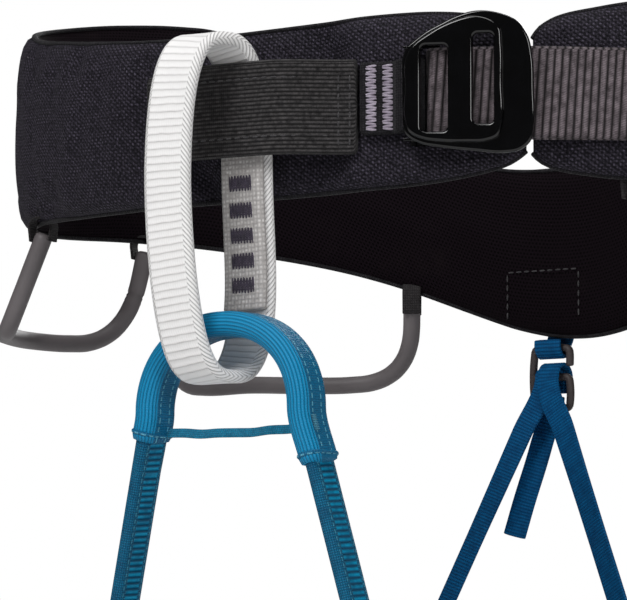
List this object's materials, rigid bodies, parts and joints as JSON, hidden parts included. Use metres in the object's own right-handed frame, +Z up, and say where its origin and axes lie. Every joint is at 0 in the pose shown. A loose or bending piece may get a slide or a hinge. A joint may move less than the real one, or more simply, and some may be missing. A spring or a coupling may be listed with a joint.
{
  "type": "climbing harness",
  "caption": "Sit harness with a padded waist belt, quick-adjust buckle, sewn belay loop, sleeved tie-in bridge, padded leg loops, gear loops and rear risers",
  "frame": {"origin": "the centre of the wearer's waist, level with the middle of the tie-in band", "axes": "+Z up along the wearer's body, the wearer faces -Y, +X is the wearer's left"},
  "size_m": [0.3174, 0.2453, 0.3266],
  "materials": {
    "shell_fabric": "coarse basket weave, matt",
    "liner_mesh": "matt mesh",
    "foam": "closed-cell foam, hidden",
    "edge_binding": "matt tape",
    "band_webbing": "fine ribbed webbing",
    "belt_webbing": "ribbed webbing",
    "pale_thread": "stitching",
    "anodised_metal": "gloss black anodised",
    "gear_tube": "satin moulded tube",
    "riser_webbing": "matt elastic webbing",
    "hook_plastic": "matt",
    "belay_webbing": "woven webbing",
    "dark_thread": "stitching",
    "sleeve_fabric": "satin ribbed fabric",
    "bridge_webbing": "ladder-ribbed webbing"
  },
  "bodies": {
    "waist_belt": {"belt_shell": "shell_fabric", "belt_foam": "foam", "belt_liner": "liner_mesh", "belt_top_binding": "edge_binding", "belt_bottom_binding": "edge_binding", "tie_in_band": "band_webbing", "belt_webbing": "belt_webbing", "webbing_tail_hem": "belt_webbing", "tail_keeper": "edge_binding", "buckle_anchor": "belt_webbing", "anchor_bartacks": "pale_thread", "buckle_base": "anodised_metal", "gear_loop_tabs": "shell_fabric", "haul_loop_tab": "shell_fabric", "riser_anchor_strap": "riser_webbing"},
    "buckle_slider": {"buckle_slider": "anodised_metal"},
    "gear_right_front": {"gear_loop_right_front": "gear_tube"},
    "gear_right_rear": {"gear_loop_right_rear": "gear_tube"},
    "gear_left_front": {"gear_loop_left_front": "gear_tube"},
    "gear_left_rear": {"gear_loop_left_rear": "gear_tube"},
    "haul_loop": {"haul_loop": "belt_webbing"},
    "belay_loop": {"belay_loop_webbing": "belay_webbing", "belay_loop_lap": "belay_webbing", "belay_loop_bartacks": "dark_thread"},
    "leg_bridge": {"bridge_sleeve": "sleeve_fabric", "bridge_webbing": "bridge_webbing", "bridge_keeper": "bridge_webbing", "bridge_strap_right": "bridge_webbing", "bridge_strap_left": "bridge_webbing"},
    "rear_risers": {"riser_hook": "hook_plastic", "riser_tail": "riser_webbing", "riser_right": "riser_webbing", "riser_left": "riser_webbing"},
    "right_leg": {"leg_shell_right": "shell_fabric", "leg_foam_right": "foam", "leg_liner_right": "liner_mesh", "leg_webbing_right": "bridge_webbing", "leg_top_binding_right": "edge_binding", "leg_bottom_binding_right": "edge_binding", "leg_strap_right": "bridge_webbing", "riser_tab_right": "riser_webbing"},
    "left_leg": {"leg_shell_left": "shell_fabric", "leg_foam_left": "foam", "leg_liner_left": "liner_mesh", "leg_webbing_left": "bridge_webbing", "leg_top_binding_left": "edge_binding", "leg_bottom_binding_left": "edge_binding", "leg_strap_left": "bridge_webbing", "riser_tab_left": "riser_webbing"}
  },
  "joints": [
    {"name": "belay_swing", "type": "hinge", "parent": "waist_belt", "child": "belay_loop", "pos_m": [0.007, -0.102, -0.006], "axis": [-1, 0, 0], "range_deg": [0, 8]},
    {"name": "bridge_level", "type": "hinge", "parent": "belay_loop", "child": "leg_bridge", "pos_m": [0.0155, -0.1168, -0.0695], "axis": [-1, 0, 0], "range_deg": [-8, 0]},
    {"name": "right_leg_lift", "type": "hinge", "parent": "leg_bridge", "child": "right_leg", "pos_m": [-0.0327, -0.1119, -0.168], "axis": [1, 0, 0], "range_deg": [0, 20], "deforming": ["riser_right"]},
    {"name": "left_leg_lift", "type": "hinge", "parent": "leg_bridge", "child": "left_leg", "pos_m": [0.0637, -0.1119, -0.168], "axis": [1, 0, 0], "range_deg": [0, 20], "deforming": ["riser_left"]},
    {"name": "riser_swing", "type": "hinge", "parent": "waist_belt", "child": "rear_risers", "pos_m": [0, 0.0935, -0.0634], "axis": [-1, 0, 0], "range_deg": [0, 3.4]},
    {"name": "gear_right_front_swing", "type": "hinge", "parent": "waist_belt", "child": "gear_right_front", "pos_m": [-0.10614, -0.06172, -0.0306], "axis": [-0.2914, 0.9562, 0.0282], "range_deg": [0, 45]},
    {"name": "gear_right_rear_swing", "type": "hinge", "parent": "waist_belt", "child": "gear_right_rear", "pos_m": [-0.12758, 0.04031, -0.02862], "axis": [0.8242, 0.5214, -0.2209], "range_deg": [0, 45]},
    {"name": "gear_left_front_swing", "type": "hinge", "parent": "waist_belt", "child": "gear_left_front", "pos_m": [0.12303, -0.04607, -0.02902], "axis": [-0.2068, -0.9782, -0.0189], "range_deg": [0, 45]},
    {"name": "gear_left_rear_swing", "type": "hinge", "parent": "waist_belt", "child": "gear_left_rear", "pos_m": [0.1324, 0.03289, -0.0277], "axis": [0.7486, -0.6021, 0.2777], "range_deg": [0, 45]},
    {"name": "buckle_tilt", "type": "hinge", "parent": "waist_belt", "child": "buckle_slider", "pos_m": [0.06948, -0.09179, 0.0045], "axis": [0, 0, -1], "range_deg": [0, 25]},
    {"name": "haul_swing", "type": "hinge", "parent": "waist_belt", "child": "haul_loop", "pos_m": [0, 0.1017, -0.0135], "axis": [1, 0, 0], "range_deg": [0, 30]}
  ],
  "couplings": [
    {"joint": "bridge_level", "follows": "belay_swing", "ratio": -1},
    {"joint": "riser_swing", "follows": "belay_swing", "ratio": 0.4217}
  ]
}
